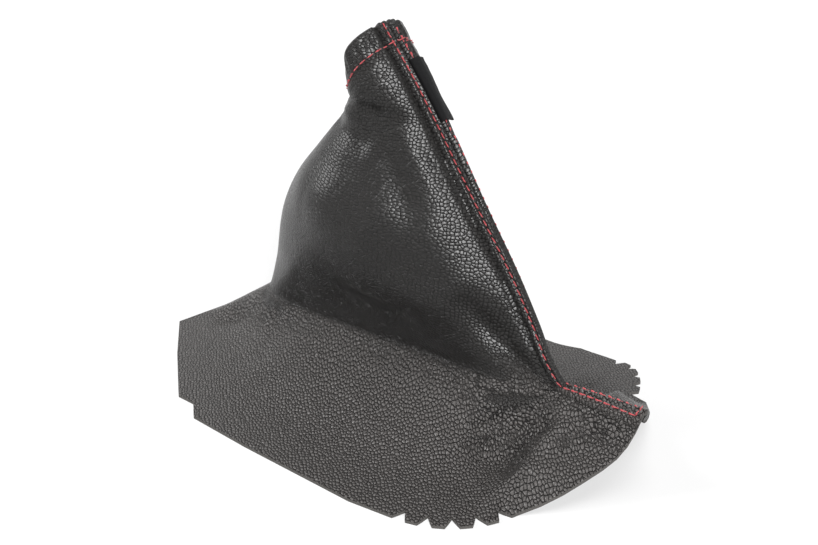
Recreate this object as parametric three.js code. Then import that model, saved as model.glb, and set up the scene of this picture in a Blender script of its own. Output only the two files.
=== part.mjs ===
import * as THREE from 'three';

// Leather boot for a car's handbrake lever, in millimetres, standing as it was put down:
// a flat skirt that the console trim clamps, and a tall sleeve that the lever passes through.
// +X runs along the boot to its seamed end, -Y is its near side and +Z is up.
// The origin is the middle of the boot's box, on the surface that the skirt lies on.

// Leather, and how it is doubled at the seam and at the mouth
const leatherThickness = 1.3;
const seamThickness = 2.4;
const seamAllowance = 8.5;
const seamGroove = 0.9;
const seamPuff = 0.5;
const hemDepth = 13;
const hemThickness = 2.2;
const steepestPinch = 0.3;

// Thread and its rows
const threadDiameter = 0.8;
const threadGap = 0.3;
const rowFromSeam = 2.9;
const hemRowFromEdge = 9;
const stitchPitch = 4;
const stitchRise = 0.25;
const crossStitchFromEnd = 4.5;

// Folded tag that is caught in the seam
const tagLength = 30;
const tagWidth = 9.5;
const tagThickness = 0.9;
const tagFromMouth = 17.5;

// Mouth, which leans back towards the folded side
const mouthFront = [-10.5, 165];
const mouthBack = [-24, 142.5];
const mouthHalfWidth = 17.6;
const mouthCrown = 1.5;

// Skirt on the ground
const skirtBackX = -118.4;
const backEndSlant = 4;
const backEndHalfWidth = 32;
const sideHalfWidth = 87.8;
const shoulderStep = 8.8;
const borderWidth = 14;
const seamFootX = 83.5;
const seamFootHeight = 27.6;
const seamEndX = 123.4;
const seamEndHeight = 31.6;
const backFoldFootX = -87;
const backFoldFootHeight = 23;
const skirtFlare = 2.3;

// Notched corners beside the seamed end
const cornerInset = [62.9, 43.8];
const cornerCentre = [seamEndX - cornerInset[0], sideHalfWidth - cornerInset[1]];
const cornerRadius = 41.2;
const farCornerRadius = 35.5;
const notchCount = 5;
const notchDepth = 5.9;
const farNotchDepth = 4.2;
const notchStep = 15.1;
const firstNotchAngle = 79.5;
const notchHalfAngle = 4.1;

// How far the far side is drawn in towards the middle, between two places along the boot,
// and how far its half of the seamed end is drawn back
const farSideDraw = 16.5;
const farDrawFrom = -60;
const farDrawTo = 80;
const farDrawStarts = 80;
const farDrawEnds = 50;
const farEndDraw = 6;

// Hollow in the skirt behind the seam's foot, and the swell in front of it. Each fades out
// between the two distances from the middle.
const hollowX = seamFootX - 9.5;
const hollowDepth = 4.5;
const swellX = seamFootX + 9.5;
const swellHeight = 4;
const foldSpread = 9;
const foldFrom = 3;
const foldTo = 64;

// Colours
const leatherColour = 0x2b2a2a;
const threadColour = 0xb5404a;
const tagColour = 0x141414;

// Cross-sections of the sleeve from the mouth down to its foot. Each goes from a point on the
// front seam to a point on the back fold, [x, z], and bulges halfWidth to either side.
// frontRun and backRun are the lengths over which it opens out, and keel says how sharply
// it closes at the seam: 0 is round and 1 is a pinched edge.
const sleeveSections = [
  {
    front: mouthFront, back: mouthBack, halfWidth: mouthHalfWidth,
    frontRun: 14.5, backRun: 15, keel: 0, crown: mouthCrown,
  },
  { front: [6, 145], back: [-28.5, 129.5], halfWidth: 17.8, frontRun: 19, backRun: 18, keel: 0.1 },
  { front: [18.7, 127.5], back: [-36, 119], halfWidth: 17.5, frontRun: 25, backRun: 22, keel: 0.3 },
  { front: [32.6, 107.5], back: [-45.5, 108], halfWidth: 22, frontRun: 40, backRun: 30, keel: 0.6 },
  { front: [45.8, 89.3], back: [-57.5, 93], halfWidth: 28, frontRun: 58, backRun: 42, keel: 0.9 },
  { front: [59.5, 70.5], back: [-68, 74], halfWidth: 30, frontRun: 76, backRun: 46, keel: 1 },
  { front: [71.5, 51], back: [-74.5, 56], halfWidth: 26, frontRun: 80, backRun: 44, keel: 1 },
  { front: [80, 36], back: [-80, 40], halfWidth: 18, frontRun: 62, backRun: 32, keel: 1 },
];
const footSection = {
  front: [seamFootX, seamFootHeight], back: [backFoldFootX, backFoldFootHeight],
  halfWidth: 12.5, frontRun: 44, backRun: 26, keel: 1,
};

// How finely the leather is drawn: rows down the sleeve and out across the skirt, as shares of
// the way, and the spacing of the columns along the skirt's edge
const sectionPoints = 48;
const stationSpacing = 13;
const pathDivisions = 16;
const skirtSteps = [0.05, 0.14, 0.28, 0.5, 0.74];
const sleeveRows = [0.09, 0.18, 0.28, 0.38, 0.48, 0.58, 0.68, 0.77, 0.85, 0.91, 0.96, 1];
const skirtRows = [0.07, 0.17, 0.29, 0.44, 0.62, 0.81, 1];
const hemRow = 1;
const hemRows = 3;
const edgeRows = 2;
const threadSides = 5;
const tagRows = 8;

// Edge of the skirt's arched end from the seam to the corner, as [distance beyond the seam's end,
// distance from the middle, share of the seam end's height]
const archedEnd = [
  [0, 0, 1], [0.6, 4, 0.943], [0.6, 7.5, 0.823], [-0.4, 10.5, 0.68], [-2.1, 15, 0.538],
  [-4.4, 21, 0.434], [-7.9, 29, 0.323], [-11.9, 37, 0.206], [-16.9, 44.5, 0.089], [-22.4, 52, 0],
];

// Edge of the skirt on the ground from the notched corner to the middle of the back end, as
// [x, distance from the middle]
const groundEdge = [
  [45, sideHalfWidth], [18, sideHalfWidth], [-15, sideHalfWidth], [-48.5, sideHalfWidth - 1.2],
  [-57.5, sideHalfWidth - shoulderStep], [-67.5, sideHalfWidth - shoulderStep],
  [skirtBackX + 20.9, 54.5], [skirtBackX - backEndSlant, backEndHalfWidth],
  [skirtBackX - backEndSlant / 2, backEndHalfWidth / 2], [skirtBackX, 0],
];

const degrees = Math.PI / 180;

// Height of a thread's middle above the leather, and of whatever lies over a thread
const threadHeight = threadGap + threadDiameter / 2;
const overThread = 2 * threadGap + threadDiameter + stitchRise;

// Rises smoothly from 0 to 1 while value goes from start to end
function fadeIn(value, start, end) {
  const t = Math.min(Math.max((value - start) / (end - start), 0), 1);
  return t * t * (3 - 2 * t);
}

// Distance of a sleeve section from the middle plane, at a share t of its length from the seam
function sectionWidth(section, t) {
  const { front, back, halfWidth, frontRun, backRun, keel } = section;
  const length = Math.hypot(back[0] - front[0], back[1] - front[1]);
  const round = (s) => Math.sqrt(Math.max(0, 1 - (1 - Math.min(s, 1)) ** 2));
  const pinched = (s) => Math.sin(Math.min(s, 1) * Math.PI / 2);
  const frontShare = t * length / frontRun;
  const opening = round(frontShare) * (1 - keel) + pinched(frontShare) * keel;
  return halfWidth * opening * round((1 - t) * length / backRun);
}

// Half of a sleeve section as a curve from the seam to the back fold
function sectionCurve(section) {
  const { front, back, crown = 0 } = section;
  const run = front[0] - back[0];
  const drop = front[1] - back[1];
  const points = [];
  for (let i = 0; i <= sectionPoints; i++) {
    const t = (1 - Math.cos(Math.PI * i / sectionPoints)) / 2;
    const raised = crown * Math.sin(Math.PI * t) / Math.hypot(run, drop);
    points.push(new THREE.Vector3(
      front[0] - run * t - drop * raised, sectionWidth(section, t), front[1] - drop * t + run * raised));
  }
  return new THREE.CatmullRomCurve3(points);
}

// Stations along half of the skirt's outline, from the seam to the middle of the back end.
// A point lies on the unnotched outline, and cut is how far the edge is cut in there.
function outlineStations(isFar) {
  const radius = isFar ? farCornerRadius : cornerRadius;
  const depth = isFar ? farNotchDepth : notchDepth;
  const stations = [];
  const add = (place, cut = 0) => {
    const point = new THREE.Vector3(...place);
    const before = stations.at(-1)?.point ?? point;
    const steps = Math.max(1, Math.round(point.distanceTo(before) / stationSpacing));
    for (let i = 1; i < steps; i++) {
      stations.push({ point: before.clone().lerp(point, i / steps), cut: 0 });
    }
    stations.push({ point, cut });
  };
  const onCorner = (angle) => [
    cornerCentre[0] + radius * Math.cos(angle * degrees),
    cornerCentre[1] + radius * Math.sin(angle * degrees), 0];
  archedEnd.forEach(([beyond, y, share]) => add([seamEndX + beyond, y, seamEndHeight * share]));
  for (let i = notchCount - 1; i >= 0; i--) {
    const angle = firstNotchAngle - notchStep * i;
    add(onCorner(angle - notchHalfAngle));
    add(onCorner(angle), depth);
    add(onCorner(angle + notchHalfAngle));
  }
  groundEdge.forEach(([x, y]) => add([x, y, 0]));
  if (isFar) stations.forEach(({ point }) => drawIn(point));
  return stations;
}

// The far side lies a little nearer the middle than the near side does, its half of the
// arched end stands back, and the back end goes on in the straight line that the near half has
function drawIn(point) {
  const behindCorner = fadeIn(-point.x, -farDrawTo, farDrawEnds - farDrawTo);
  const alongSide = fadeIn(point.x, farDrawFrom, farDrawFrom + farDrawStarts) * behindCorner;
  const atSide = fadeIn(point.y, sideHalfWidth * 3 / 8, sideHalfWidth);
  const besideEnd = fadeIn(point.y, 0, 12) * fadeIn(point.x, farDrawTo - 20, farDrawTo + 20);
  const atBack = point.x < farDrawFrom ? Math.min(point.y / backEndHalfWidth, 1) : 0;
  point.y -= farSideDraw * alongSide * atSide;
  point.x += 2 * backEndSlant * atBack - farEndDraw * besideEnd;
}

// Places across the leather near the seam, in mm from it, and how far its face stands out there
const seamProfile = [
  { from: 0, rise: -seamGroove, wall: seamThickness },
  { from: rowFromSeam / 2, rise: seamPuff, wall: seamThickness },
  { from: rowFromSeam, rise: 0, wall: seamThickness },
  { from: rowFromSeam + 2, rise: seamPuff * 0.6, wall: seamThickness },
  { from: seamAllowance, rise: 0, wall: leatherThickness },
];

// How much higher the skirt lies than its plain flare does, in the hollow and on the swell
function skirtFold(x, y) {
  const across = (lineX) => Math.exp(-(((x - lineX) / foldSpread) ** 2));
  const along = fadeIn(y, foldFrom, foldFrom * 4) * fadeIn(-y, -foldTo, -foldTo / 2);
  return (swellHeight * across(swellX) - hollowDepth * across(hollowX)) * along;
}

// One side of the boot as columns of control points that run from the mouth to the skirt's edge
function sideColumns(isFar) {
  const stations = outlineStations(isFar);
  const outline = new THREE.CurvePath();
  for (let i = 1; i < stations.length; i++) {
    outline.add(new THREE.LineCurve3(stations[i - 1].point, stations[i].point));
  }
  const reach = [0, ...outline.getCurveLengths()];
  const total = reach.at(-1);
  const sections = [...sleeveSections, footSection].map(sectionCurve);

  // The first columns keep their distance from the seam, and the others share out the rest
  const columns = seamProfile.map(({ from, rise, wall }) => ({ from, share: 0, rise, wall, cut: 0 }));
  stations.forEach(({ cut }, i) => {
    const beyond = reach[i] - seamAllowance;
    if (beyond > rowFromSeam) {
      const share = beyond / (total - seamAllowance);
      columns.push({ from: seamAllowance, share, rise: 0, wall: leatherThickness, cut });
    }
  });
  return columns.map(({ from, share, rise, wall, cut }) => {
    const along = (curve) => {
      const length = curve.getLength();
      return curve.getPointAt(Math.min(1, (from + share * (length - from)) / length));
    };
    const points = sections.map(along);
    const skirt = skirtPoints(points.at(-1), along(outline), cut);
    const onItsSide = (p) => new THREE.Vector3(p.x, isFar ? p.y : -p.y, p.z);
    return { rise, wall, points: [...points, ...skirt].map(onItsSide) };
  });
}

// Points of a column across the skirt, from the sleeve's foot out to its border and its edge
function skirtPoints(foot, rim, cut) {
  const borderAt = 1 - borderWidth / Math.hypot(rim.x - foot.x, rim.y - foot.y);
  const points = [...skirtSteps, 1].map((step) => step * borderAt).map((q) => {
    const x = foot.x + (rim.x - foot.x) * q;
    const y = foot.y + (rim.y - foot.y) * q;
    const fall = (1 - q / borderAt) ** skirtFlare;
    const climb = 1 - (1 - q) ** skirtFlare;
    const height = foot.z * fall + (rim.z + leatherThickness) * climb + skirtFold(x, y);
    return new THREE.Vector3(x, y, Math.max(height, leatherThickness));
  });
  const edge = new THREE.Vector3(rim.x, rim.y, rim.z + leatherThickness);
  const inward = new THREE.Vector3(cornerCentre[0] - rim.x, cornerCentre[1] - rim.y, 0);
  return [...points, edge.addScaledVector(inward.normalize(), cut)];
}

// A column's points from the mouth down: the hem's row of stitches, the end of the hem,
// the sleeve down to its foot, and the skirt out to its border and edge
function columnRows(points) {
  const curve = new THREE.CatmullRomCurve3(points, false, 'centripetal');
  curve.arcLengthDivisions = pathDivisions * (points.length - 1);
  const lengths = curve.getLengths();
  const total = lengths.at(-1);
  const footAt = lengths[pathDivisions * sleeveSections.length];
  const borderAt = lengths[pathDivisions * (points.length - 2)];
  const reach = [
    0, hemRowFromEdge, hemDepth,
    ...sleeveRows.map((share) => hemDepth + (footAt - hemDepth) * share),
    ...skirtRows.map((share) => footAt + (borderAt - footAt) * share),
  ];
  return [...reach.map((length) => curve.getPointAt(length / total)), points.at(-1)];
}

// The leather's outer face as a grid of points: columns go once round the boot, from the seam
// by the near side and the back fold to the far side, and rows go down from the mouth
function outerGrid() {
  const near = sideColumns(false);
  const far = sideColumns(true);
  const round = [...near, ...far.slice(1, -1).reverse()];
  const base = round.map((column) => columnRows(column.points));
  const normals = base.map((column, j) => column.map((point, k) => {
    const around = base[(j + 1) % base.length][k].clone().sub(base.at(j - 1)[k]);
    const down = column[Math.min(k + 1, column.length - 1)].clone().sub(column[Math.max(k - 1, 0)]);
    return around.cross(down).normalize();
  }));
  return { round, base, normals, rowCount: base[0].length };
}

// Underside of the leather. Near the seam the folded allowances fill the pinched edge, so its
// middle lies deeper, and the border and edge of the skirt lie flat.
function innerGrid({ round, base, normals, rowCount }) {
  const size = base.length;
  const bandEnd = seamProfile.length - 1;
  const inward = (j, k) => {
    const hemmed = k < hemRows ? hemThickness : 0;
    return base[j][k].clone().addScaledVector(normals[j][k], -Math.max(round[j].wall, hemmed));
  };
  const inner = base.map((column, j) => column.map((point, k) => (
    k < rowCount - edgeRows ? inward(j, k) : point.clone().setZ(point.z - leatherThickness))));
  for (let k = 0; k < rowCount - edgeRows; k++) {
    const outwards = normals[0][k];
    const wall = base[bandEnd][k].clone().sub(base[0][k]).normalize();
    const pinch = Math.max(Math.sqrt(1 - wall.dot(outwards) ** 2), steepestPinch);
    inner[0][k].copy(base[0][k]).addScaledVector(outwards, -seamThickness / pinch);
    for (let i = 1; i < bandEnd; i++) {
      const share = seamProfile[i].from / seamAllowance;
      inner[i][k].lerpVectors(inner[0][k], inner[bandEnd][k], share);
      inner[size - i][k].lerpVectors(inner[0][k], inner[size - bandEnd][k], share);
    }
  }
  inner.forEach((column) => column.forEach((point) => point.setZ(Math.max(point.z, 0))));
  return inner;
}

// Closed shell between the outer face and the underside
function leatherGeometry(grid) {
  const { round, base, normals, rowCount } = grid;
  const outer = base.map((column, j) => column.map((point, k) => (
    point.clone().addScaledVector(normals[j][k], round[j].rise))));
  const inner = innerGrid(grid);
  const rings = [];
  for (let k = 0; k < rowCount; k++) rings.push(outer.map((column) => column[k]));
  for (let k = rowCount - 1; k >= 0; k--) rings.push(inner.map((column) => column[k]));
  return ringGeometry(rings, true);
}

// Skin over a run of closed rings of points. It closes on itself, or has a cap at each end,
// which goes across from the ring's first half to its second.
function ringGeometry(rings, closesOnItself) {
  const count = rings[0].length;
  const indices = [];
  const at = (r, j) => (r % rings.length) * count + (j % count);
  const spans = closesOnItself ? rings.length : rings.length - 1;
  for (let r = 0; r < spans; r++) {
    for (let j = 0; j < count; j++) {
      indices.push(at(r, j), at(r, j + 1), at(r + 1, j));
      indices.push(at(r, j + 1), at(r + 1, j + 1), at(r + 1, j));
    }
  }
  const last = rings.length - 1;
  const cap = (a, b, c) => {
    indices.push(at(0, a), at(0, c), at(0, b));
    indices.push(at(last, a), at(last, b), at(last, c));
  };
  for (let a = 0, b = count - 1; !closesOnItself && b - a > 1; a++, b--) {
    cap(a, a + 1, b);
    if (b - a > 2) cap(a + 1, b - 1, b);
  }
  const geometry = new THREE.BufferGeometry().setFromPoints(rings.flat());
  geometry.setIndex(indices);
  geometry.computeVertexNormals();
  return geometry;
}

// Thread of round section through points that each know the leather's outward direction
function threadGeometry(places, closesOnItself) {
  const last = places.length - 1;
  const rings = places.map(({ point, outward }, i) => {
    const before = closesOnItself ? places.at(i - 1) : places[Math.max(i - 1, 0)];
    const after = closesOnItself ? places[(i + 1) % places.length] : places[Math.min(i + 1, last)];
    const ahead = after.point.clone().sub(before.point).normalize();
    const across = outward.clone().cross(ahead).normalize();
    const up = ahead.clone().cross(across);
    const ring = [];
    for (let side = 0; side < threadSides; side++) {
      const turn = 2 * Math.PI * side / threadSides;
      ring.push(point.clone()
        .addScaledVector(across, threadDiameter / 2 * Math.cos(turn))
        .addScaledVector(up, threadDiameter / 2 * Math.sin(turn)));
    }
    return ring;
  });
  return ringGeometry(rings, closesOnItself);
}

// The place that lies a distance along a line of places, each with its outward direction
function placeAlong(places, distance) {
  let left = distance;
  let i = 1;
  let length = places[1].point.distanceTo(places[0].point);
  while (left > length && i < places.length - 1) {
    left -= length;
    i += 1;
    length = places[i].point.distanceTo(places[i - 1].point);
  }
  return {
    point: places[i - 1].point.clone().lerp(places[i].point, left / length),
    outward: places[i - 1].outward.clone().lerp(places[i].outward, left / length).normalize(),
  };
}

// A place on the leather beside the seam: across it on one side, and down from the mouth
function besideSeam({ base, normals }, isFar, across, down) {
  const places = [];
  for (let i = 0; i < seamProfile.length + 3; i++) {
    const column = base.at(isFar ? -i : i);
    const outwards = normals.at(isFar ? -i : i);
    places.push(placeAlong(column.map((point, k) => ({ point, outward: outwards[k] })), down));
  }
  return placeAlong(places, across);
}

function lifted({ point, outward }, height) {
  return { point: point.clone().addScaledVector(outward, height), outward };
}

// One thread: down beside the seam, across it near the skirt's end, and up the other side
function seamThreadGeometry(grid) {
  const endOf = (column) => {
    const steps = column.slice(1).map((point, k) => point.distanceTo(column[k]));
    return steps.reduce((sum, step) => sum + step, -crossStitchFromEnd);
  };
  const stitches = (isFar) => {
    const end = endOf(grid.base.at(isFar ? -2 : 2));
    const halfStitches = 2 * Math.round((end - threadDiameter) / stitchPitch);
    const places = [];
    for (let i = 0; i <= halfStitches; i++) {
      const down = threadDiameter + (end - threadDiameter) * i / halfStitches;
      const height = threadHeight + (i % 2 ? stitchRise : 0);
      places.push(lifted(besideSeam(grid, isFar, rowFromSeam, down), height));
    }
    return places;
  };
  const crossing = [false, true].map((isFar) => {
    const end = endOf(grid.base.at(isFar ? -1 : 1));
    return lifted(besideSeam(grid, isFar, rowFromSeam / 2, end), threadHeight + seamPuff);
  });
  return threadGeometry([...stitches(false), ...crossing, ...stitches(true).reverse()], false);
}

// The hem's row of stitches, which goes round the mouth and over the seam's own rows
function hemThreadGeometry({ base, normals }) {
  const places = base.map((column, j) => {
    const isOverSeam = Math.min(j, base.length - j) < seamProfile.length - 1;
    const place = { point: column[hemRow], outward: normals[j][hemRow] };
    return lifted(place, isOverSeam ? threadHeight + overThread : threadHeight);
  });
  return threadGeometry(places, true);
}

// Tag folded out of the seam on to its far side, over the row of stitches there
function tagGeometry(grid) {
  const clearOfPuff = seamPuff + threadGap;
  const heights = [
    { across: 0.5, under: threadGap / 2 },
    { across: rowFromSeam / 2, under: clearOfPuff },
    { across: rowFromSeam - threadDiameter / 2, under: overThread },
    { across: rowFromSeam + threadDiameter / 2, under: overThread },
    { across: rowFromSeam + 2 * clearOfPuff + threadDiameter, under: clearOfPuff },
    { across: tagWidth, under: 2 * threadGap },
  ];
  const rings = [];
  for (let i = 0; i <= tagRows; i++) {
    const down = tagFromMouth + tagLength * i / tagRows;
    const places = heights.map(({ across, under }) => (
      { ...besideSeam(grid, true, across, down), under }));
    const under = places.map((place) => lifted(place, place.under).point);
    const over = places.map((place) => lifted(place, place.under + tagThickness).point);
    rings.push([...under, ...over.reverse()]);
  }
  return ringGeometry(rings, false);
}

function piece(name, geometry, color, roughness) {
  const material = new THREE.MeshStandardMaterial({ color, roughness, metalness: 0 });
  const mesh = new THREE.Mesh(geometry, material);
  mesh.name = name;
  return mesh;
}

const grid = outerGrid();
const boot = new THREE.Group();
boot.add(piece('leather_boot', leatherGeometry(grid), leatherColour, 0.55));
boot.add(piece('seam_topstitch', seamThreadGeometry(grid), threadColour, 0.6));
boot.add(piece('hem_topstitch', hemThreadGeometry(grid), threadColour, 0.6));
boot.add(piece('seam_tag', tagGeometry(grid), tagColour, 0.85));

const bounds = new THREE.Box3().setFromObject(boot);
const middle = bounds.getCenter(new THREE.Vector3());
boot.position.set(-middle.x, -middle.y, -bounds.min.z);

export default boot;
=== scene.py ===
import math

import bpy
import numpy as np
from mathutils import Matrix, Vector, noise


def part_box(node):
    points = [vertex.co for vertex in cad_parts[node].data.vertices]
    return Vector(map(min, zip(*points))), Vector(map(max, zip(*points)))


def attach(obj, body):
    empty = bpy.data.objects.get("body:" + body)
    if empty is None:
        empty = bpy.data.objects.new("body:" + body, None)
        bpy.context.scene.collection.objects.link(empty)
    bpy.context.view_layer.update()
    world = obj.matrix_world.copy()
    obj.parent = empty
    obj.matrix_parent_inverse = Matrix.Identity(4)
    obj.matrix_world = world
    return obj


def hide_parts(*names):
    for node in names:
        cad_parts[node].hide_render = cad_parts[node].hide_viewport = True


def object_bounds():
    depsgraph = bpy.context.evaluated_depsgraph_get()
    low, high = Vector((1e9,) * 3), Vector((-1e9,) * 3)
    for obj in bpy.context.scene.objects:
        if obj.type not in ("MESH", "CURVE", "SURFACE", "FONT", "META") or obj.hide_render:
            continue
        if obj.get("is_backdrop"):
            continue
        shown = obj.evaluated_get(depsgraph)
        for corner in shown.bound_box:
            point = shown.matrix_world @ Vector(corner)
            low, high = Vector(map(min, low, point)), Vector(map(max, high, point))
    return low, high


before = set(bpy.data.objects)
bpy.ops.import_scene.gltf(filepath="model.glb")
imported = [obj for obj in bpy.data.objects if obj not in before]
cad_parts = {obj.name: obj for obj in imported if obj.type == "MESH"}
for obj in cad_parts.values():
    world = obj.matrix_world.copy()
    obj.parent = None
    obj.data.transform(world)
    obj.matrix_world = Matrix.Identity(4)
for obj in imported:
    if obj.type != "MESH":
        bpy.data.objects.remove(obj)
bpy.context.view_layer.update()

# Camera
# It stands a little above the boot, on its near side and towards the seamed end, as the
# photograph was taken.
camera_azimuth = math.radians(40.7)
camera_elevation = math.radians(25.3)
camera_distance = 0.702
camera_target = Vector((-0.0753, 0.0887, 0))
camera_lens = 57.2

camera_back = Vector((
    math.sin(camera_azimuth) * math.cos(camera_elevation),
    -math.cos(camera_azimuth) * math.cos(camera_elevation),
    math.sin(camera_elevation)))
bpy.ops.object.camera_add(
    location=camera_target + camera_back * camera_distance,
    rotation=(-camera_back).to_track_quat("-Z", "Y").to_euler())
camera = bpy.context.object
camera.data.lens = camera_lens
camera.data.sensor_width = 36
camera.data.clip_start = 0.01
camera.data.clip_end = 20
bpy.context.scene.camera = camera


# Leather boot
# One piece of soft pebble-grained leather, cut flat, folded at the back and closed by a seam
# down the front. Its skirt lies on the ground with a notched edge, and its sleeve stands up
# and narrows to a hemmed mouth. It is a sheet, laid out in millimetres as rows from the
# mouth down to the skirt's edge and columns round from the seam.
mm = 0.001
leather_thickness = 1.3
seam_thickness = 2.4
seam_allowance = 8.5
hem_thickness = 2.2
hem_depth = 13
hem_row = 9
row_from_seam = 2.9

mouth_front = (-10.5, 165)
mouth_back = (-24, 142.5)
skirt_back_x = -118.4
back_end_slant = 4
back_end_half_width = 32
side_half_width = 87.8
shoulder_step = 8.8
border_width = 14
seam_foot_x = 83.5
seam_foot_height = 27.6
seam_end_x = 123.4
seam_end_height = 29.8
skirt_flare = 2.3
corner_inset = (62.9, 43.8)
corner_centre = np.array((seam_end_x - corner_inset[0], side_half_width - corner_inset[1]))
shoulder_x = -57.5
shoulder_length = 10
far_side_draw = 16.5
far_draw_from = -60
far_draw_start_run = 80
far_draw_to = 80
far_draw_end_run = 50
far_draw_inner_share = 3 / 8
far_end_draw = 6
far_end_run = 12
far_end_half_length = 20
fold_hollow = 8
fold_swell = 9.5
fold_reach = 9.5
fold_half_width = 9

# Each section of the sleeve from the mouth down: seam point and back fold point as (x, z),
# half width, the runs over which it opens from the seam and from the fold, and its keel,
# which is 0 where it is round at the seam and 1 where it is pinched there.
sleeve_sections = [
    (mouth_front, mouth_back, 17.6, 14.5, 15, 0),
    ((6, 145), (-28.5, 129.5), 17.8, 19, 18, 0.1),
    ((18.7, 127.5), (-36, 119), 17.5, 25, 22, 0.3),
    ((32.6, 107.5), (-45.5, 108), 22, 40, 30, 0.6),
    ((45.8, 89.3), (-57.5, 93), 28, 58, 42, 0.9),
    ((59.5, 70.5), (-68, 74), 30, 76, 46, 1),
    ((71.5, 51), (-74.5, 56), 26, 80, 44, 1),
    ((80, 36), (-80, 40), 18, 62, 32, 1),
    ((seam_foot_x + 3.5, seam_foot_height + 1.2), (-87, 23), 12.5, 44, 26, 1),
]
mouth_crown = 1.5
skirt_steps = [0.05, 0.14, 0.28, 0.5, 0.74, 1]

# Half of the skirt's edge, near side. The arched end is given as distance beyond the seam's
# end, distance from the middle, and share of the seam end's height.
arched_end = [
    (0, 0, 1), (0.6, 4, 0.943), (0.6, 7.5, 0.823), (-0.4, 10.5, 0.68), (-2.1, 15, 0.538),
    (-4.4, 21, 0.434), (-7.9, 29, 0.323), (-11.9, 37, 0.206), (-16.9, 44.5, 0.089), (-22.4, 52, 0)]
ground_edge = [
    (45, side_half_width), (18, side_half_width), (-15, side_half_width),
    (-48.5, side_half_width - 1.2), (shoulder_x, side_half_width - shoulder_step),
    (shoulder_x - shoulder_length, side_half_width - shoulder_step), (skirt_back_x + 20.9, 54.5),
    (skirt_back_x - back_end_slant, back_end_half_width),
    (skirt_back_x - back_end_slant / 2, back_end_half_width / 2), (skirt_back_x, 0)]
notch_count = 5
notch_step = 15.1
first_notch_angle = 79.5
notch_half_angle = 4.1


def fade_in(value, start, end):
    t = np.clip((value - start) / (end - start), 0, 1)
    return t * t * (3 - 2 * t)


def section_points(section, crown):
    front, back, half_width, front_run, back_run, keel = section
    t = (1 - np.cos(np.linspace(0, math.pi, 401))) / 2
    run, drop = front[0] - back[0], front[1] - back[1]
    length = math.hypot(run, drop)

    def rounded(share):
        return np.sqrt(np.clip(1 - (1 - np.minimum(share, 1)) ** 2, 0, 1))

    front_share = t * length / front_run
    pinched = np.sin(np.minimum(front_share, 1) * math.pi / 2)
    opening = rounded(front_share) * (1 - keel) + pinched * keel
    width = half_width * opening * rounded((1 - t) * length / back_run)
    raised = crown * np.sin(math.pi * t) / length
    return np.stack((front[0] - run * t - drop * raised, width, front[1] - drop * t + run * raised), 1)


def edge_corners(is_far):
    """Corners of half of the skirt's edge, and how deep it is cut in at each."""
    radius, depth = (35.5, 4.2) if is_far else (41.2, 5.9)
    corners = [(seam_end_x + beyond, y, seam_end_height * share) for beyond, y, share in arched_end]
    cuts = [0] * len(corners)
    for i in reversed(range(notch_count)):
        for turn, cut in ((-notch_half_angle, 0), (0, depth), (notch_half_angle, 0)):
            angle = math.radians(first_notch_angle - notch_step * i + turn)
            spot = corner_centre + radius * np.array((math.cos(angle), math.sin(angle)))
            corners.append((*spot, 0))
            cuts.append(cut)
    corners += [(x, y, 0) for x, y in ground_edge]
    cuts += [0] * len(ground_edge)
    return np.array(corners, float), np.array(cuts, float)


def draw_in(points):
    """The far side lies nearer the middle than the near side does."""
    x, y = points[:, 0].copy(), points[:, 1].copy()
    along_side = fade_in(x, far_draw_from, far_draw_from + far_draw_start_run)
    along_side *= fade_in(-x, -far_draw_to, far_draw_end_run - far_draw_to)
    at_side = fade_in(y, side_half_width * far_draw_inner_share, side_half_width)
    beside_end = fade_in(x, far_draw_to - far_end_half_length, far_draw_to + far_end_half_length)
    beside_end *= fade_in(y, 0, far_end_run)
    at_back = np.minimum(y / back_end_half_width, 1) * np.clip((shoulder_x - x) / shoulder_length, 0, 1)
    points[:, 1] -= far_side_draw * along_side * at_side
    points[:, 0] += 2 * back_end_slant * at_back - far_end_draw * beside_end
    return points


def lengths_along(points):
    steps = np.linalg.norm(np.diff(points, axis=0), axis=1)
    return np.concatenate(([0], np.cumsum(steps)))


def walk(points, distances):
    """Places at the given distances along a line of points."""
    reach = lengths_along(points)
    return np.stack([np.interp(distances, reach, points[:, axis]) for axis in range(3)], 1)


def skirt_fold(x, y):
    """Hollow behind the seam's foot and swell in front of it."""
    along = fade_in(y, 3, 12) * fade_in(-y, -64, -32)
    hollow = np.exp(-(((x - seam_foot_x + fold_reach) / fold_half_width) ** 2))
    swell = np.exp(-(((x - seam_foot_x - fold_reach) / fold_half_width) ** 2))
    return (fold_swell * swell - fold_hollow * hollow) * along


# Distances of the columns in the seam's band, and steps between columns along the skirt's edge
band_columns = [0, 0.35, 0.75, 1.15, 1.6, 2.1, 2.5, 2.9, 3.3, 3.8, 4.4, 5.2, 6.2, 7.3, 8.5]
edge_step = 4.2
notch_edge_step = 1.3


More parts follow.
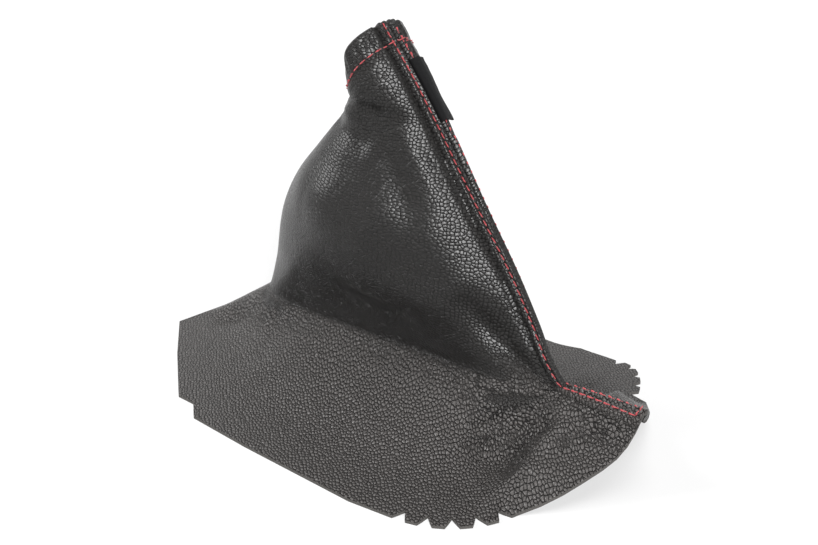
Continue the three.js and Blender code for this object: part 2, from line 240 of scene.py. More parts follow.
def side_columns(is_far):
    """One side's columns as control points (column, place down, xyz)."""
    corners, cuts = edge_corners(is_far)
    if is_far:
        whole = lengths_along(corners)
        fine = np.unique(np.concatenate((whole, np.arange(0, whole[-1], 2.0))))
        cuts = np.interp(fine, whole, cuts)
        corners = draw_in(walk(corners, fine))
    reach = lengths_along(corners)
    stations = []
    for start, end, cut_start, cut_end in zip(reach, reach[1:], cuts, cuts[1:]):
        step = notch_edge_step if cut_start or cut_end else edge_step
        count = max(1, round((end - start) / step))
        stations += [start + (end - start) * i / count for i in range(count)]
    stations = np.array([s for s in stations if s > seam_allowance + 1.5] + [reach[-1]])
    across = np.concatenate((band_columns, np.full(len(stations), seam_allowance)))
    share = np.concatenate((
        np.zeros(len(band_columns)), (stations - seam_allowance) / (reach[-1] - seam_allowance)))
    curves = [section_points(s, mouth_crown if i == 0 else 0) for i, s in enumerate(sleeve_sections)]
    places = []
    for curve in [*curves, corners]:
        total = lengths_along(curve)[-1]
        distances = np.minimum(across + share * (total - across), total)
        places.append(walk(curve, distances))
    rim_distance = across + share * (reach[-1] - across)
    cut = np.interp(rim_distance, reach, cuts)
    foot, rim = places[-2], places[-1]
    border_at = 1 - border_width / np.hypot(*(rim - foot)[:, :2].T)
    skirt = []
    for step in skirt_steps:
        q = (step * border_at)[:, None]
        spot = foot + (rim - foot) * q
        fall = (1 - q / border_at[:, None]) ** skirt_flare
        climb = 1 - (1 - q) ** skirt_flare
        height = foot[:, 2:] * fall + (rim[:, 2:] + leather_thickness) * climb
        height = height + skirt_fold(spot[:, :1], spot[:, 1:2])
        straight = foot[:, 2:] * (1 - q) + (rim[:, 2:] + leather_thickness) * q
        at_seam = 1 - fade_in(spot[:, 1:2], 3, 16)
        height = height * (1 - at_seam) + straight * at_seam
        spot[:, 2:] = np.maximum(height, leather_thickness)
        skirt.append(spot)
    edge = rim + (0, 0, leather_thickness)
    inward = np.zeros_like(edge)
    inward[:, :2] = corner_centre - rim[:, :2]
    inward /= np.linalg.norm(inward, axis=1)[:, None]
    edge = edge + inward * cut[:, None]
    controls = np.stack([*places[:-1], *skirt, edge], 1)
    if not is_far:
        controls[:, :, 1] *= -1
    return controls


def smooth_line(p, count):
    """Centripetal curve through each column's control points, count steps to a span."""
    p = np.concatenate((2 * p[:, :1] - p[:, 1:2], p, 2 * p[:, -1:] - p[:, -2:-1]), 1)
    x0, x1, x2, x3 = p[:, :-3], p[:, 1:-2], p[:, 2:-1], p[:, 3:]

    def knot(a, b):
        return np.maximum(np.linalg.norm(b - a, axis=2, keepdims=True), 1e-4) ** 0.5

    d0, d1, d2 = knot(x0, x1), knot(x1, x2), knot(x2, x3)
    t1 = ((x1 - x0) / d0 - (x2 - x0) / (d0 + d1) + (x2 - x1) / d1) * d1
    t2 = ((x2 - x1) / d1 - (x3 - x1) / (d1 + d2) + (x3 - x2) / d2) * d1
    line = []
    for i in range(x1.shape[1]):
        a, b, m, n = x1[:, i], x2[:, i], t1[:, i], t2[:, i]
        for step in range(count):
            t = step / count
            line.append(a + m * t + (3 * b - 3 * a - 2 * m - n) * t ** 2 + (2 * a - 2 * b + m + n) * t ** 3)
    line.append(x2[:, -1])
    return np.stack(line, 1)


hem_rows = 11
sleeve_rows = 84
skirt_rows = 44
border_rows = 8
span_steps = 16


def sheet_rows(controls):
    """Places down each column: hem, sleeve, skirt and border."""
    line = smooth_line(controls, span_steps)
    foot_at = span_steps * (len(sleeve_sections) - 1)
    border_at = span_steps * (controls.shape[1] - 2)
    rows = []
    for column, control in zip(line, controls):
        reach = lengths_along(column)
        down = np.concatenate((
            np.linspace(0, hem_depth, hem_rows, endpoint=False),
            np.linspace(hem_depth, reach[foot_at], sleeve_rows, endpoint=False),
            np.linspace(reach[foot_at], reach[border_at], skirt_rows)))
        t = np.linspace(0, 1, border_rows + 1)[1:, None]
        border = control[-2] * (1 - t) + control[-1] * t
        rows.append(np.concatenate((walk(column, down), border)))
    return np.array(rows)


near_rows = sheet_rows(side_columns(False))
far_rows = sheet_rows(side_columns(True))
sheet = np.concatenate((near_rows, far_rows[-2:0:-1]))
column_count, row_count = sheet.shape[:2]
near_count = len(near_rows)


def sheet_normals(points):
    around = np.roll(points, -1, 0) - np.roll(points, 1, 0)
    down = np.gradient(points, axis=1)
    normal = np.cross(around, down)
    return normal / np.linalg.norm(normal, axis=2)[:, :, None]


normals = sheet_normals(sheet)

# Distance of every place from the seam across the leather, and down from the mouth
steps_round = np.linalg.norm(np.roll(sheet, -1, 0) - sheet, axis=2)
from_seam = np.zeros((column_count, row_count))
from_seam[1:near_count] = np.cumsum(steps_round[:near_count - 1], 0)
from_seam[near_count:] = np.cumsum(steps_round[:near_count - 1:-1], 0)[::-1]
steps_down = np.linalg.norm(np.diff(sheet, axis=1), axis=2)
from_mouth = np.concatenate((np.zeros((column_count, 1)), np.cumsum(steps_down, 1)), 1)

# The leather is not smooth: the seam leans to the far side half way up, and creases, puckers
# and slow waves run over it. Creases are given as start and end on the near side, half width
# and depth, a raised one with a depth below 0.
seam_lean = (-2.7, 3.2)
creases = [
    ((-25, -12, 133.5), (-4, -17, 131.5), 3.2, 2.4),
    ((-4, -17, 131.5), (9, -11, 130), 2.2, 1.2),
    ((-31, -10, 121), (-10, -18, 117), 3.5, 2),
    ((-24, -15, 127.5), (-16, -17, 127), 3.5, -1.0),
    ((-32, -23, 92), (-8, -28, 88), 15, -5),
    ((-26, -13, 122), (-2, -17, 126), 8, 2.2),
    ((-4, -17, 126), (20, -21, 95), 8, 3),
    ((6, -14, 124), (30, -12, 100), 4.5, -0.8),
    ((44, -13, 56), (70, -6, 33), 6.5, 4),
    ((64, -7, 38), (85, -5, 25), 3.5, 2.8),
    ((-20, -20, 46), (46, -14, 40), 12, 3),
    ((58, -18, 24), (84, -11, 21), 5, -2.2),
    ((80, -8, 23), (60, -24, 12), 3, 3),
    ((81, -10, 22), (68, -34, 6), 2.6, 2.4),
    ((83, -12, 22), (79, -38, 5), 2.6, 2),
    ((86, -11, 22), (93, -33, 6), 2.6, 1),
    ((74, -16, 17), (55, -38, 6), 3, -1.4),
    ((-84, -6, 20), (-104, -20, 5), 2.2, 1),
    ((-82, -9, 18), (-92, -30, 4), 2.2, 1),
    ((-78, -12, 17), (-80, -34, 4), 2.2, 0.8),
    ((-70, -13, 18), (-66, -34, 5), 2.4, 0.7),
]
stitch_pitch = 4
wave_length = 34
wave_depth = 1.1
pucker_depth = 0.22
wrinkle_width = 7
wrinkle_length = 2.4
wrinkle_depth = 0.5


def move_out(heights):
    sheet[:, :] += normals * heights[:, :, None]


on_ground = fade_in(sheet[:, :, 2], leather_thickness + 0.2, leather_thickness + 5)
near_seam = 1 - fade_in(from_seam, 3, 30)
lean_height = fade_in(-sheet[:, :, 2], -158, -115) * fade_in(sheet[:, :, 2], 28, 50)
sheet[:, :, :2] += (near_seam * lean_height)[:, :, None] * seam_lean
normals = sheet_normals(sheet)
moves = np.zeros((column_count, row_count))
for start, end, half_width, depth in creases:
    start, end = np.array(start, float), np.array(end, float)
    along = end - start
    t = np.clip(((sheet - start) @ along) / (along @ along), 0, 1)
    away = np.linalg.norm(sheet - start - t[:, :, None] * along, axis=2)
    full_in_middle = 0.35 + 0.65 * np.sin(math.pi * (0.15 + 0.7 * t))
    moves -= depth * np.exp(-((away / half_width) ** 2)) * full_in_middle
waves = np.array([noise.noise(Vector(place) / wave_length) for place in sheet.reshape(-1, 3).tolist()])
waves = waves.reshape(column_count, row_count)
below_hem = fade_in(from_mouth, hem_depth, hem_depth + 8)
moves += wave_depth * waves * below_hem
fine_places = np.stack((from_seam / wrinkle_width, from_mouth / wrinkle_length, from_seam * 0), 2)
wrinkles = np.array([noise.noise(Vector(place)) for place in fine_places.reshape(-1, 3).tolist()])
wrinkles = wrinkles.reshape(column_count, row_count)
at_hem = fade_in(from_mouth, hem_row + 1, hem_row + 4) * fade_in(-from_mouth, -34, -20)
moves += wrinkle_depth * wrinkles * at_hem * fade_in(from_seam, 4, 8)
puckered = np.sin(from_seam / stitch_pitch * 2 * math.pi)
puckered *= fade_in(-from_mouth, -hem_row, -hem_row / 2 + 1)
moves += pucker_depth * puckered * fade_in(from_mouth, 1, 3)
border_fade = 1 - fade_in(np.arange(row_count), row_count - border_rows - 12, row_count - border_rows - 2)
moves *= on_ground * border_fade[None, :] * fade_in(from_seam, 0.5, 6)
move_out(moves)
normals = sheet_normals(sheet)

# Rise of the leather beside the seam, as distance from it and height, and how deep the groove
# may be where the skirt's border is thin
seam_profile = (
    (0, -1.5), (0.45, -0.7), (1, 0.25), (1.6, 0.62), (2.2, 0.35), (2.9, -0.2), (3.6, 0.3), (4.4, 0.5),
    (5.2, -0.1), (6.2, -1.4), (7.3, -1), (8.5, 0.1), (10.5, 0))
border_groove = -0.6
far_ridge_rise = 0.6
hem_groove_depth = 0.35
hem_groove_half_width = 1.1
profile_places, profile_rises = zip(*seam_profile)
rise = np.interp(from_seam, profile_places, profile_rises)
far_ridge = fade_in(from_seam, 0.8, 1.8) * fade_in(-from_seam, -6, -3.5) * fade_in(from_mouth, 52, 58)
rise[near_count:] += far_ridge_rise * far_ridge[near_count:]
hem_groove = np.exp(-(((from_mouth - hem_row) / hem_groove_half_width) ** 2))
rise -= hem_groove_depth * hem_groove * fade_in(from_seam, 3, 5)
border_first = row_count - border_rows - 1
rise[:, border_first - 2:] = np.maximum(rise[:, border_first - 2:], border_groove)
outer = sheet + normals * rise[:, :, None]

wall = np.interp(
    from_seam, (0, seam_allowance - 1.5, seam_allowance),
    (seam_thickness, seam_thickness, leather_thickness))
wall = np.where(from_mouth < hem_depth, np.maximum(wall, hem_thickness), wall)
inner = sheet - normals * wall[:, :, None]
inner[:, border_first:] = sheet[:, border_first:] - (0, 0, leather_thickness)
band_end = len(band_columns) - 1
for k in range(border_first):
    out = normals[0, k]
    side = sheet[band_end, k] - sheet[0, k]
    side = side / np.linalg.norm(side)
    pinch = max(math.sqrt(max(0, 1 - float(side @ out) ** 2)), 0.3)
    inner[0, k] = sheet[0, k] - out * seam_thickness / pinch
    for i in range(1, band_end):
        t = band_columns[i] / seam_allowance
        inner[i, k] = inner[0, k] * (1 - t) + inner[band_end, k] * t
        inner[-i, k] = inner[0, k] * (1 - t) + inner[-band_end, k] * t
inner[:, :, 2] = np.maximum(inner[:, :, 2], 0)


def ring_mesh(name, rings):
    """Closed skin over rings of points, the last ring joining the first."""
    count = rings.shape[1]
    verts = rings.reshape(-1, 3) * mm
    faces = []
    for r in range(len(rings)):
        here, there = r * count, (r + 1) % len(rings) * count
        for j in range(count):
            after = (j + 1) % count
            faces.append((here + j, here + after, there + after, there + j))
    mesh = bpy.data.meshes.new(name)
    mesh.from_pydata(verts.tolist(), [], faces)
    return mesh


# The mouth's rim is a fold, so it is round
rim_middle = (outer[:, 0] + inner[:, 0]) / 2
rim_out = outer[:, 0] - rim_middle
rim_up = outer[:, 0] - outer[:, 1]
rim_up *= (np.linalg.norm(rim_out, axis=1) / np.linalg.norm(rim_up, axis=1))[:, None]
rim = [
    rim_middle + rim_out * math.cos(math.radians(turn)) + rim_up * math.sin(math.radians(turn)) * 0.8
    for turn in (150, 120, 90, 60, 30)]
rings = np.concatenate((outer.transpose(1, 0, 2), inner.transpose(1, 0, 2)[::-1], np.array(rim)))
leather_mesh = ring_mesh("leather", rings)
cad_boot_low, cad_boot_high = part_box("leather_boot")
low = Vector((rings.reshape(-1, 3).min(0) * mm).tolist())
high = Vector((rings.reshape(-1, 3).max(0) * mm).tolist())
shift = (cad_boot_low + cad_boot_high - low - high) / 2
shift.z = 0
leather_mesh.transform(Matrix.Translation(shift))
leather = bpy.data.objects.new("leather", leather_mesh)
bpy.context.collection.objects.link(leather)
leather_mesh.shade_smooth()

# Where the grain lies: across and down the sleeve as metres on the leather, how much of it is
# the sleeve's, and how steep the skirt is. On the skirt it follows the ground plan.
leather_map = leather_mesh.uv_layers.new(name="sleeve_map")
across_leather = np.concatenate((from_seam.T, from_seam.T[::-1], [from_seam[:, 0]] * len(rim))).ravel()
down_leather = np.concatenate((from_mouth.T, from_mouth.T[::-1], [from_mouth[:, 0]] * len(rim))).ravel()
map_places = np.stack((across_leather, down_leather), 1) * mm
corner_verts = np.zeros(len(leather_mesh.loops), int)
leather_mesh.loops.foreach_get("vertex_index", corner_verts)
leather_map.data.foreach_set("uv", map_places[corner_verts].ravel())
foot_row = hem_rows + sleeve_rows
sleeve_grain_and_shade_share = 1 - fade_in(np.arange(row_count), foot_row - 8, foot_row + 5)
# Steep leather counts as sleeve, for its grain and for the painted shade: a darker base colour where the
# leather faces sideways than where it faces up.
steepness = 1 - fade_in(normals[:, :, 2], 0.4, 0.65)
steepness *= 1 - fade_in(np.arange(row_count), foot_row + 5, foot_row + 13)
slope = 1 - fade_in(normals[:, :, 2], 0.62, 0.84)
both_shares = (("sleeve_grain_and_shade_share", np.maximum(sleeve_grain_and_shade_share, steepness).T), ("slope_share", slope.T))
for name, by_place in both_shares:
    shares = np.concatenate((by_place, by_place[::-1], np.ones((len(rim), column_count))))
    leather_mesh.attributes.new(name, "FLOAT", "POINT").data.foreach_set("value", shares.ravel())

# The flesh side is a plain nap below the turned-in hem, and the cut edge shows the leather's
# grey core
part_of_ring = np.zeros(len(rings), int)
part_of_ring[row_count - 1] = 1
part_of_ring[row_count:2 * row_count - 1 - hem_rows] = 2
leather_mesh.polygons.foreach_set("material_index", np.repeat(part_of_ring, column_count))

leather_material = bpy.data.materials.new("pebbled leather")
leather_material.use_nodes = True
nodes = leather_material.node_tree.nodes
links = leather_material.node_tree.links
surface = nodes["Principled BSDF"]
surface.inputs["Roughness"].default_value = 0.3
surface.inputs["Specular IOR Level"].default_value = 0.3
place = nodes.new("ShaderNodeTexCoord")
wander = nodes.new("ShaderNodeTexNoise")
wander.inputs["Scale"].default_value = 170
wander.inputs["Detail"].default_value = 1
links.new(place.outputs["Object"], wander.inputs["Vector"])


def pebble_layer(place_socket, turn, cells, dimensions, roundness):
    """Rounded pebbles parted by narrow valleys, with cells to the metre along each axis."""
    wandered = nodes.new("ShaderNodeVectorMath")
    wandered.operation = "MULTIPLY_ADD"
    wandered.inputs[1].default_value = (0.0013, 0.0013, 0.0013)
    links.new(wander.outputs["Color"], wandered.inputs[0])
    links.new(place_socket, wandered.inputs[2])
    turned = nodes.new("ShaderNodeMapping")
    turned.inputs["Rotation"].default_value = (0, 0, math.radians(turn))
    scaled = nodes.new("ShaderNodeMapping")
    scaled.inputs["Scale"].default_value = cells
    links.new(wandered.outputs["Vector"], turned.inputs["Vector"])
    links.new(turned.outputs["Vector"], scaled.inputs["Vector"])
    layer = []
    for feature, low_end, high_end in (("DISTANCE_TO_EDGE", 0, 0.15), ("F1", 0.8, 0)):
        cell = nodes.new("ShaderNodeTexVoronoi")
        cell.voronoi_dimensions = dimensions
        cell.feature = feature
        cell.inputs["Scale"].default_value = 1
        cell.inputs["Randomness"].default_value = 0.8
        links.new(scaled.outputs["Vector"], cell.inputs["Vector"])
        shaped = nodes.new("ShaderNodeMapRange")
        shaped.interpolation_type = "SMOOTHSTEP"
        shaped.inputs["From Min"].default_value = low_end
        shaped.inputs["From Max"].default_value = high_end
        links.new(cell.outputs["Distance"], shaped.inputs["Value"])
        layer.append(shaped.outputs["Result"])
    dome = nodes.new("ShaderNodeMath")
    dome.operation = "MULTIPLY_ADD"
    dome.inputs[1].default_value = roundness
    links.new(layer[1], dome.inputs[0])
    links.new(layer[0], dome.inputs[2])
    return dome.outputs[0]


map_node = nodes.new("ShaderNodeUVMap")
map_node.uv_map = "sleeve_map"
on_sleeve = pebble_layer(map_node.outputs["UV"], 35, (520, 700, 1), "2D", 0.2)
on_flat = pebble_layer(place.outputs["Object"], 41, (500, 740, 1), "2D", 0.3)
on_slope = pebble_layer(place.outputs["Object"], 41, (470, 700, 580), "3D", 0.3)
slope_share = nodes.new("ShaderNodeAttribute")
slope_share.attribute_name = "slope_share"
skirt_grain = nodes.new("ShaderNodeMix")
links.new(slope_share.outputs["Fac"], skirt_grain.inputs["Factor"])
links.new(on_flat, skirt_grain.inputs["A"])
links.new(on_slope, skirt_grain.inputs["B"])
on_skirt = skirt_grain.outputs["Result"]
deeper = nodes.new("ShaderNodeMath")
deeper.operation = "MULTIPLY"
deeper.inputs[1].default_value = 4.6
links.new(on_skirt, deeper.inputs[0])
share = nodes.new("ShaderNodeAttribute")
share.attribute_name = "sleeve_grain_and_shade_share"
grain = nodes.new("ShaderNodeMix")
links.new(share.outputs["Fac"], grain.inputs["Factor"])
links.new(deeper.outputs[0], grain.inputs["A"])
links.new(on_sleeve, grain.inputs["B"])
fine = nodes.new("ShaderNodeTexNoise")
fine.inputs["Scale"].default_value = 1500
fine.inputs["Detail"].default_value = 2
links.new(place.outputs["Object"], fine.inputs["Vector"])
height = nodes.new("ShaderNodeMath")
height.operation = "MULTIPLY_ADD"
height.inputs[1].default_value = 0.1
links.new(fine.outputs["Fac"], height.inputs[0])
links.new(grain.outputs["Result"], height.inputs[2])
bump = nodes.new("ShaderNodeBump")
bump.inputs["Strength"].default_value = 1
bump.inputs["Distance"].default_value = 0.0004
links.new(height.outputs[0], bump.inputs["Height"])
links.new(bump.outputs["Normal"], surface.inputs["Normal"])
# Base colour darker in the pebbles' valleys than on their tops: painted shade in the grain.
sleeve_shaded_ramp = nodes.new("ShaderNodeValToRGB")
sleeve_shaded_ramp.color_ramp.elements[0].color = (0.006, 0.0057, 0.0055, 1)
sleeve_shaded_ramp.color_ramp.elements[1].color = (0.017, 0.0159, 0.0153, 1)
links.new(grain.outputs["Result"], sleeve_shaded_ramp.inputs["Fac"])
# The skirt and leather that faces up get a lighter base colour than the sleeve and steep leather: painted
# light where it faces up, painted shade where it faces sideways
painted_light_by_slope = nodes.new("ShaderNodeMix")
painted_light_by_slope.data_type = "RGBA"
links.new(share.outputs["Fac"], painted_light_by_slope.inputs["Factor"])
skirt_light_and_valley_shade_ramp = nodes.new("ShaderNodeValToRGB")
skirt_light_and_valley_shade_ramp.color_ramp.elements[0].color = (0.02, 0.0186, 0.018, 1)
skirt_light_and_valley_shade_ramp.color_ramp.elements[1].color = (0.088, 0.082, 0.079, 1)
links.new(on_skirt, skirt_light_and_valley_shade_ramp.inputs["Fac"])
links.new(skirt_light_and_valley_shade_ramp.outputs["Color"], painted_light_by_slope.inputs[6])
links.new(sleeve_shaded_ramp.outputs["Color"], painted_light_by_slope.inputs[7])
links.new(painted_light_by_slope.outputs[2], surface.inputs["Base Color"])
leather_mesh.materials.append(leather_material)
for name, colour, scale in (
        ("leather core", (0.1, 0.095, 0.09, 1), 900),
        ("leather nap", (0.03, 0.028, 0.027, 1), 1600)):
    plain = bpy.data.materials.new(name)
    plain.use_nodes = True
    nodes = plain.node_tree.nodes
    links = plain.node_tree.links
    surface = nodes["Principled BSDF"]
    surface.inputs["Base Color"].default_value = colour
    surface.inputs["Roughness"].default_value = 0.9
    surface.inputs["Specular IOR Level"].default_value = 0.2
    place = nodes.new("ShaderNodeTexCoord")
    fibres = nodes.new("ShaderNodeTexNoise")
    fibres.inputs["Scale"].default_value = scale
    links.new(place.outputs["Object"], fibres.inputs["Vector"])
    bump = nodes.new("ShaderNodeBump")
    bump.inputs["Distance"].default_value = 0.0002
    links.new(fibres.outputs["Fac"], bump.inputs["Height"])
    links.new(bump.outputs["Normal"], surface.inputs["Normal"])
    leather_mesh.materials.append(plain)
bpy.ops.object.select_all(action="DESELECT")
leather.select_set(True)
bpy.context.view_layer.objects.active = leather
bpy.ops.object.shade_smooth_by_angle(angle=math.radians(55))
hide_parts("leather_boot")
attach(leather, "root")

# Seam topstitching
# A red thread sewn by machine down one side of the seam, across its end and up the other side.
# Each stitch is a plump twisted length that dips into a needle hole at both ends.
stitch_length = 3.2
thread_thickness = 0.56
cross_stitch_from_end = 2.6
stitch_lift = 0.16
stitch_slant = 7
seam_crossing_lift = 0.7

thread_material = bpy.data.materials.new("red thread")
thread_material.use_nodes = True
nodes = thread_material.node_tree.nodes
links = thread_material.node_tree.links
surface = nodes["Principled BSDF"]
surface.inputs["Base Color"].default_value = (0.5, 0.065, 0.075, 1)
surface.inputs["Roughness"].default_value = 0.5
surface.inputs["Specular IOR Level"].default_value = 0.4
surface.inputs["Sheen Weight"].default_value = 0.2
thread_map = nodes.new("ShaderNodeUVMap")
thread_map.uv_map = "UVMap"
strands = nodes.new("ShaderNodeMapping")
strands.inputs["Rotation"].default_value = (0, 0, math.radians(35))
strands.inputs["Scale"].default_value = (1, 1.6, 1)
links.new(thread_map.outputs["UV"], strands.inputs["Vector"])
twist = nodes.new("ShaderNodeTexWave")
twist.inputs["Scale"].default_value = 1.6
links.new(strands.outputs["Vector"], twist.inputs["Vector"])
bump = nodes.new("ShaderNodeBump")
bump.inputs["Strength"].default_value = 0.9
bump.inputs["Distance"].default_value = 0.0001
links.new(twist.outputs["Fac"], bump.inputs["Height"])
links.new(bump.outputs["Normal"], surface.inputs["Normal"])

# One stitch, along X and standing up in Z, in millimetres
bpy.ops.object.select_all(action="DESELECT")
bpy.ops.mesh.primitive_uv_sphere_add(segments=10, ring_count=10, radius=0.5)
stitch = bpy.context.object
stitch.name = "stitch"
bpy.ops.object.mode_set(mode="EDIT")
bpy.ops.mesh.select_all(action="SELECT")
bpy.ops.transform.rotate(value=math.radians(90), orient_axis="Y", center_override=(0, 0, 0))
bpy.ops.transform.resize(
    value=(stitch_length, thread_thickness, thread_thickness), center_override=(0, 0, 0))
bpy.ops.object.mode_set(mode="OBJECT")
dip = stitch.modifiers.new("dip", "SIMPLE_DEFORM")
dip.deform_method = "BEND"
dip.deform_axis = "Y"
dip.angle = math.radians(70)
bpy.ops.object.modifier_apply(modifier="dip")
stitch.data.shade_smooth()
stitch.data.materials.append(thread_material)


def sew(name, places, shift):
    """Copies of the stitch at places given as middle, direction and outward, made one object."""
    copies = []
    for middle, along, out in places:
        along = along / np.linalg.norm(along)
        side = np.cross(out, along)
        side = side / np.linalg.norm(side)
        up = np.cross(along, side)
        placed = Matrix((
            (along[0], side[0], up[0], middle[0]),
            (along[1], side[1], up[1], middle[1]),
            (along[2], side[2], up[2], middle[2]),
            (0, 0, 0, 1)))
        copy = stitch.copy()
        copy.data = stitch.data.copy()
        bpy.context.collection.objects.link(copy)
        copy.data.transform(Matrix.Translation(shift) @ Matrix.Scale(mm, 4) @ placed)
        copies.append(copy)
    bpy.ops.object.select_all(action="DESELECT")
    for copy in copies:
        copy.select_set(True)
    bpy.context.view_layer.objects.active = copies[0]
    bpy.ops.object.join()
    row = bpy.context.object
    row.name = name
    return row


def along_column(column, down):
    """Surface points and outward directions at distances down a column from the mouth."""
    reach = from_mouth[column]
    points = np.stack([np.interp(down, reach, outer[column, :, axis]) for axis in range(3)], 1)
    outs = np.stack([np.interp(down, reach, normals[column, :, axis]) for axis in range(3)], 1)
    return points, outs / np.linalg.norm(outs, axis=1)[:, None]


row_column = band_columns.index(row_from_seam)
seam_places = []
row_ends = []
for column, turn in ((row_column, 1), (column_count - row_column, -1)):
    row_end = from_mouth[column][-1] - cross_stitch_from_end
    count = round((row_end - 1) / stitch_pitch)
    middles = row_end - stitch_pitch * (np.arange(count) + 0.5)
    points, outs = along_column(column, middles)
    ahead, _ = along_column(column, middles + 0.8)
    behind, _ = along_column(column, middles - 0.8)
    for point, out, along in zip(points, outs, ahead - behind):
        across = np.cross(out, along)
        slanted = along + across * math.tan(math.radians(stitch_slant)) * turn
        seam_places.append((point + out * stitch_lift, slanted, out))
    corner, _ = along_column(column, np.array([row_end]))
    row_ends.append(corner[0])
near_corner, far_corner = row_ends
ridge_column = band_columns.index(1.6)
for column, corner in ((ridge_column, near_corner), (column_count - ridge_column, far_corner)):
    ridge, ridge_out = along_column(column, np.array([from_mouth[column][-1] - cross_stitch_from_end]))
    seam_places.append((ridge[0] + ridge_out[0] * stitch_lift, far_corner - near_corner, ridge_out[0]))
seam_stitches = sew("seam_stitches", seam_places, shift)
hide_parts("seam_topstitch")
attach(seam_stitches, "root")

# Hem topstitching
# The same red thread, sewn round the mouth through the turned-in hem and over the seam.
ring_points = np.array([along_column(j, np.array([hem_row]))[0][0] for j in range(column_count)])
ring_outs = np.array([along_column(j, np.array([hem_row]))[1][0] for j in range(column_count)])
crossing_lift = seam_crossing_lift * (1 - fade_in(from_seam[:, hem_rows * hem_row // hem_depth], 3, 7))
ring_points = ring_points + ring_outs * (stitch_lift + crossing_lift[:, None])
closed_points = np.concatenate((ring_points, ring_points[:1]))
closed_outs = np.concatenate((ring_outs, ring_outs[:1]))
ring_reach = lengths_along(closed_points)
hem_count = round(ring_reach[-1] / stitch_pitch)
hem_middles = ring_reach[-1] * (np.arange(hem_count) + 0.5) / hem_count


def round_mouth(values, distances):
    return np.stack(
        [np.interp(distances % ring_reach[-1], ring_reach, values[:, axis]) for axis in range(3)], 1)


hem_places = zip(
    round_mouth(closed_points, hem_middles),
    round_mouth(closed_points, hem_middles + 0.8) - round_mouth(closed_points, hem_middles - 0.8),
    round_mouth(closed_outs, hem_middles))
hem_stitches = sew("hem_stitches", hem_places, shift)
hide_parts("hem_topstitch")
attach(hem_stitches, "root")
bpy.data.objects.remove(stitch)

# Seam tag
# A short length of black woven tape, folded double, its cut ends caught in the closing seam
# beside the mouth. It bends over the seam's far half and hides the stitches under it.
tag_from_mouth = 18.3
tag_length = 29.5
tag_layer = 0.44
tag_slit = 0.04
tag_steps = 36
tag_spring = 1.1
tag_seam_columns = 24
# Middle of the folded tape across the seam, as distance from the seam and height
tag_path = np.array((
    (0, -0.6), (0.02, 0.1), (0.12, 0.7), (0.5, 1.15), (1.2, 1.35), (2.1, 1.32), (3, 1.25), (4, 1.16),
    (5, 1.02), (6, 0.82), (7, 0.66), (8, 0.6), (9, 0.62)))


def beside_seam(across, height, down):
    """A place over the leather on the seam's far side."""
    columns = [0] + [column_count - i for i in range(1, tag_seam_columns)]
    points, outs = [], []
    for column in columns:
        reach = from_mouth[column]
        points.append([np.interp(down, reach, sheet[column, :, axis]) for axis in range(3)])
        outs.append([np.interp(down, reach, normals[column, :, axis]) for axis in range(3)])
    points, outs = np.array(points), np.array(outs)
    spot = walk(points, [max(across, 0)])[0]
    reach = lengths_along(points)
    out = np.array([np.interp(max(across, 0), reach, outs[:, axis]) for axis in range(3)])
    beyond = points[1] - points[0]
    spot = spot + beyond / np.linalg.norm(beyond) * min(across, 0)
    return spot + out / np.linalg.norm(out) * height


path_way = np.gradient(tag_path, axis=0)
path_way /= np.linalg.norm(path_way, axis=1)[:, None]
path_up = np.stack((-path_way[:, 1], path_way[:, 0]), 1)
full = tag_layer + tag_slit
tip, tip_way, tip_up = tag_path[-1], path_way[-1], path_up[-1]
round_tip = [
    tip + tip_up * full * math.cos(math.radians(turn)) + tip_way * full * math.sin(math.radians(turn))
    for turn in (30, 60, 90, 120, 150)]
slit_tip = [tip + tip_way * tag_slit]
tag_section = np.concatenate((
    tag_path + path_up * full, round_tip, (tag_path - path_up * full)[::-1],
    tag_path - path_up * tag_slit, slit_tip, (tag_path + path_up * tag_slit)[::-1]))
tag_rings = []
for step in range(tag_steps + 1):
    part = step / tag_steps
    down = tag_from_mouth + tag_length * part
    ring = []
    for across, height in tag_section:
        spring = tag_spring * fade_in(part, 0.55, 1) * fade_in(across, 3, 9.5)
        ring.append(beside_seam(across, height + spring, down))
    tag_rings.append(ring)
tag_rings = np.array(tag_rings)
around_tag = tag_rings.shape[1]
path_count = len(tag_path)
tag_faces = []
for step in range(tag_steps):
    here, there = step * around_tag, (step + 1) * around_tag
    for j in range(around_tag):
        after = (j + 1) % around_tag
        tag_faces.append((here + j, here + after, there + after, there + j))
under_first = path_count + len(round_tip)
slit_first = under_first + path_count
over_first = slit_first + path_count + 1
for first, is_end in ((0, False), (tag_steps * around_tag, True)):
    caps = []
    for i in range(path_count - 1):
        upper = over_first + path_count - 1 - i
        lower = under_first + path_count - 1 - i
        caps.append((i, upper, upper - 1, i + 1))
        caps.append((slit_first + i, lower, lower - 1, slit_first + i + 1))
    caps.append((path_count - 1, over_first, slit_first + path_count, slit_first + path_count - 1,
                 *range(under_first, path_count - 1, -1)))
    for cap in caps:
        face = [first + corner for corner in cap]
        tag_faces.append(face[::-1] if is_end else face)
tag_mesh = bpy.data.meshes.new("tag")
tag_mesh.from_pydata((tag_rings.reshape(-1, 3) * mm).tolist(), [], tag_faces)
tag_mesh.transform(Matrix.Translation(shift))
tag = bpy.data.objects.new("tag", tag_mesh)
bpy.context.collection.objects.link(tag)
tag_mesh.shade_smooth()
bpy.ops.object.select_all(action="DESELECT")
tag.select_set(True)
bpy.context.view_layer.objects.active = tag
bpy.ops.object.mode_set(mode="EDIT")
bpy.ops.mesh.select_all(action="SELECT")
bpy.ops.mesh.normals_make_consistent(inside=False)
bpy.ops.object.mode_set(mode="OBJECT")
bpy.ops.object.shade_smooth_by_angle(angle=math.radians(50))

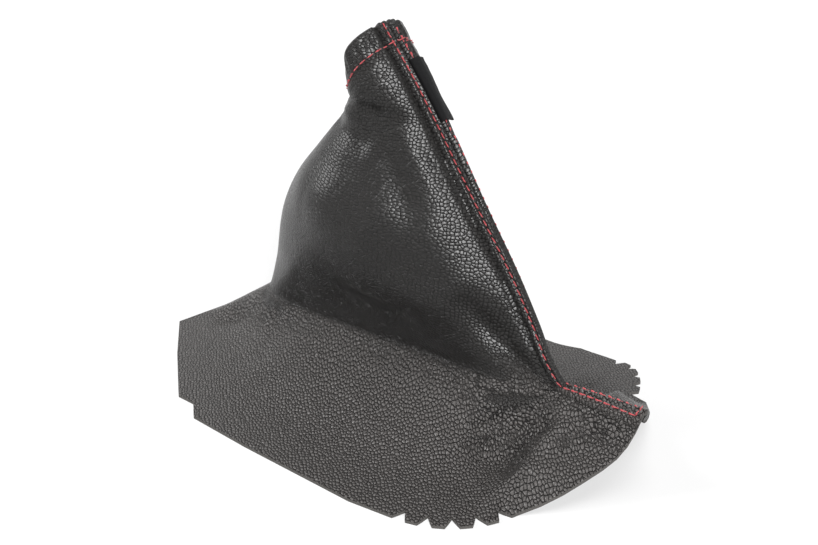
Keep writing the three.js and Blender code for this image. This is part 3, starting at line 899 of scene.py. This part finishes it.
section_reach = lengths_along(tag_section)
tape_map = tag_mesh.uv_layers.new(name="tape_map")
tape_places = np.stack((
    np.repeat(np.arange(tag_steps + 1) * tag_length / tag_steps, around_tag),
    np.tile(section_reach, tag_steps + 1)), 1)
corner_verts = np.zeros(len(tag_mesh.loops), int)
tag_mesh.loops.foreach_get("vertex_index", corner_verts)
tape_map.data.foreach_set("uv", tape_places[corner_verts].ravel())

tape_material = bpy.data.materials.new("black woven tape")
tape_material.use_nodes = True
nodes = tape_material.node_tree.nodes
links = tape_material.node_tree.links
surface = nodes["Principled BSDF"]
surface.inputs["Base Color"].default_value = (0.006, 0.006, 0.0065, 1)
surface.inputs["Roughness"].default_value = 0.6
surface.inputs["Specular IOR Level"].default_value = 0.1
map_node = nodes.new("ShaderNodeUVMap")
map_node.uv_map = "tape_map"
threads = []
for direction in ("X", "Y"):
    yarn = nodes.new("ShaderNodeTexWave")
    yarn.bands_direction = direction
    yarn.inputs["Scale"].default_value = 0.8
    links.new(map_node.outputs["UV"], yarn.inputs["Vector"])
    threads.append(yarn)
weave = nodes.new("ShaderNodeMath")
weave.operation = "MULTIPLY"
links.new(threads[0].outputs["Fac"], weave.inputs[0])
links.new(threads[1].outputs["Fac"], weave.inputs[1])
bump = nodes.new("ShaderNodeBump")
bump.inputs["Strength"].default_value = 0.8
bump.inputs["Distance"].default_value = 0.00015
links.new(weave.outputs[0], bump.inputs["Height"])
links.new(bump.outputs["Normal"], surface.inputs["Normal"])
tag_mesh.materials.append(tape_material)
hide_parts("seam_tag")
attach(tag, "root")

# Floor and light
# A pale floor and a white surround. A key lamp stands on the seam's side, a second one at the
# left and a third above.
bpy.ops.mesh.primitive_plane_add(size=6)
floor = bpy.context.object
floor.name = "floor"
floor_material = bpy.data.materials.new("pale floor")
floor_material.use_nodes = True
nodes = floor_material.node_tree.nodes
links = floor_material.node_tree.links
nodes["Principled BSDF"].inputs["Roughness"].default_value = 0.9
nodes["Principled BSDF"].inputs["Specular IOR Level"].default_value = 0
glow = nodes.new("ShaderNodeEmission")
mix = nodes.new("ShaderNodeMixShader")


def seen_directly(nodes, links, target, least, most):
    """Feeds a socket one value for camera, glossy and transmission rays, another for the rest."""
    rays = nodes.new("ShaderNodeLightPath")
    seen = nodes.new("ShaderNodeMath")
    seen.operation = "MAXIMUM"
    links.new(rays.outputs["Is Camera Ray"], seen.inputs[0])
    links.new(rays.outputs["Is Glossy Ray"], seen.inputs[1])
    also = nodes.new("ShaderNodeMath")
    also.operation = "MAXIMUM"
    links.new(seen.outputs[0], also.inputs[0])
    links.new(rays.outputs["Is Transmission Ray"], also.inputs[1])
    level = nodes.new("ShaderNodeMapRange")
    level.inputs["To Min"].default_value = least
    level.inputs["To Max"].default_value = most
    links.new(also.outputs[0], level.inputs["Value"])
    links.new(level.outputs["Result"], target)


seen_directly(nodes, links, mix.inputs["Fac"], 0, 0.5)
seen_directly(nodes, links, nodes["Principled BSDF"].inputs["Base Color"], 0.3, 0.95)
links.new(nodes["Principled BSDF"].outputs[0], mix.inputs[1])
links.new(glow.outputs[0], mix.inputs[2])
links.new(mix.outputs[0], nodes["Material Output"].inputs["Surface"])
floor.data.materials.append(floor_material)
floor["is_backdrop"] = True

world = bpy.data.worlds.new("studio")
bpy.context.scene.world = world
world.use_nodes = True
nodes = world.node_tree.nodes
links = world.node_tree.links
nodes["Background"].inputs["Color"].default_value = (1, 1, 1, 1)
seen_directly(nodes, links, nodes["Background"].inputs["Strength"], 0.05, 1)

for direction, strength, spread in (
        ((0.7, -0.58, 0.43), 3.8, 25), ((-0.8, -0.4, 0.55), 1.8, 32), ((0.1, 0.1, 1), 1.4, 45)):
    bpy.ops.object.light_add(type="SUN", location=direction)
    lamp = bpy.context.object
    lamp.data.energy = strength
    lamp.data.angle = math.radians(spread)
    lamp.rotation_euler = Vector(direction).to_track_quat("Z", "Y").to_euler()

bpy.context.scene.view_settings.view_transform = "Standard"

low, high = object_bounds()
